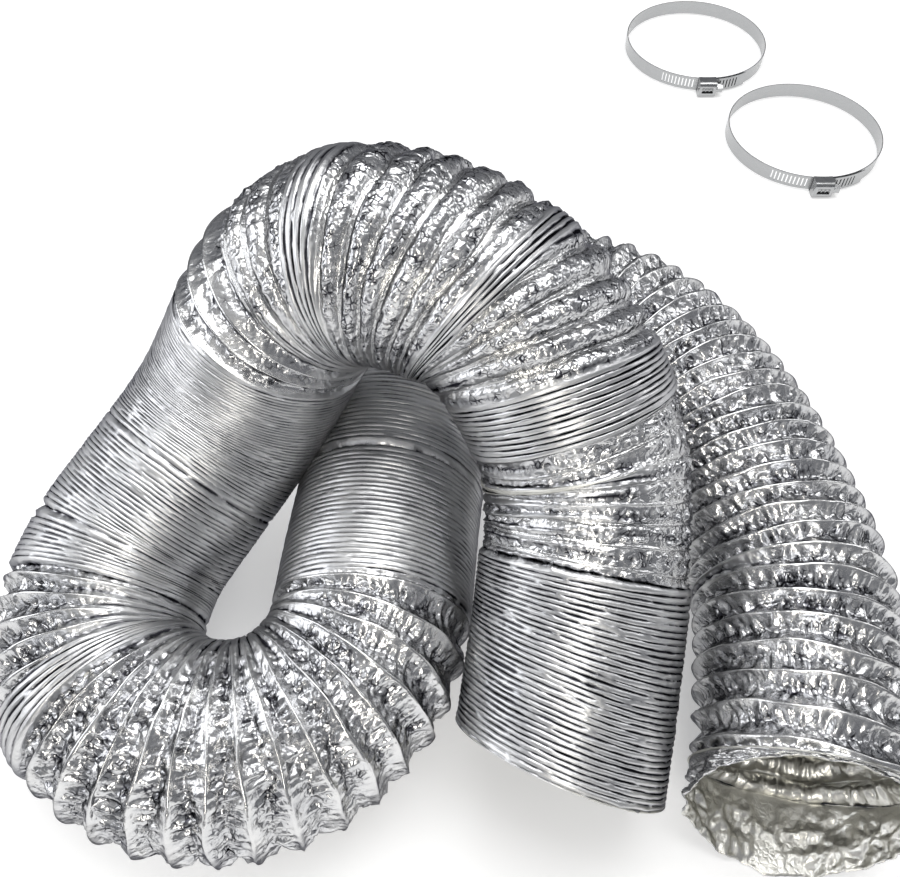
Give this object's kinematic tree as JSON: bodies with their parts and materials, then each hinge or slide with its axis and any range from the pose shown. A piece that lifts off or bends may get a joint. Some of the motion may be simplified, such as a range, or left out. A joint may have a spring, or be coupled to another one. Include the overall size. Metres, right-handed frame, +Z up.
{
  "type": "flexible air duct with hose clamps",
  "caption": "Ribbed round foil air duct laid in loops, open at both mouths, with loose worm-drive hose clamps for fixing it to spigots.",
  "frame": {"origin": "on the floor that the set lies on, below the middle of the whole set", "axes": "+X to the right, +Y to the back, away from the two mouths, +Z up"},
  "size_m": [0.5967, 0.7807, 0.2422],
  "materials": {
    "foil": "bright crinkled foil",
    "steel": "brushed"
  },
  "bodies": {
    "duct": {"duct_run": "foil", "front_bellows": "foil", "rear_bellows": "foil"},
    "front_mouth_end": {"front_end": "foil"},
    "rear_mouth_end": {"rear_end": "foil"},
    "clamp_1_ring_body": {"clamp_1_band": "steel", "clamp_1_saddle": "steel", "clamp_1_housing": "steel"},
    "clamp_1_tail_body": {"clamp_1_tail": "steel"},
    "clamp_1_screw_body": {"clamp_1_screw": "steel"},
    "clamp_2_ring_body": {"clamp_2_band": "steel", "clamp_2_saddle": "steel", "clamp_2_housing": "steel"},
    "clamp_2_tail_body": {"clamp_2_tail": "steel"},
    "clamp_2_screw_body": {"clamp_2_screw": "steel"}
  },
  "joints": [
    {"name": "front_slide", "type": "slide", "parent": "duct", "child": "front_mouth_end", "axis": [-0.1084, -0.9941, 0], "range_m": [-0.03, 0.1], "deforming": ["front_bellows"]},
    {"name": "rear_swing", "type": "hinge", "parent": "duct", "child": "rear_mouth_end", "pos_m": [0.11531, -0.29069, 0.0513], "axis": [0, 0, 1], "range_deg": [0, 35], "deforming": ["rear_bellows"]},
    {"name": "clamp_1_lift", "type": "slide", "parent": "duct", "child": "clamp_1_ring_body", "axis": [0, 0, 1], "range_m": [0, 0.15]},
    {"name": "clamp_1_screw_turn", "type": "hinge", "parent": "clamp_1_ring_body", "child": "clamp_1_screw_body", "pos_m": [0.16663, 0.25999, 0.0071], "axis": [-1, 0, 0], "range_deg": [0, 1080]},
    {"name": "clamp_1_tail_feed", "type": "hinge", "parent": "clamp_1_ring_body", "child": "clamp_1_tail_body", "pos_m": [0.16663, 0.32954, 0.0071], "axis": [0, 0, 1], "range_deg": [0, 8.4]},
    {"name": "clamp_2_lift", "type": "slide", "parent": "duct", "child": "clamp_2_ring_body", "axis": [0, 0, 1], "range_m": [0, 0.15]},
    {"name": "clamp_2_screw_turn", "type": "hinge", "parent": "clamp_2_ring_body", "child": "clamp_2_screw_body", "pos_m": [0.2377, 0.12405, 0.0071], "axis": [-1, 0, 0], "range_deg": [0, 1080]},
    {"name": "clamp_2_tail_feed", "type": "hinge", "parent": "clamp_2_ring_body", "child": "clamp_2_tail_body", "pos_m": [0.2377, 0.1936, 0.0071], "axis": [0, 0, 1], "range_deg": [0, 8.4]}
  ],
  "couplings": [
    {"joint": "clamp_1_tail_feed", "follows": "clamp_1_screw_turn", "ratio": 0.0077778},
    {"joint": "clamp_2_tail_feed", "follows": "clamp_2_screw_turn", "ratio": 0.0077778}
  ]
}
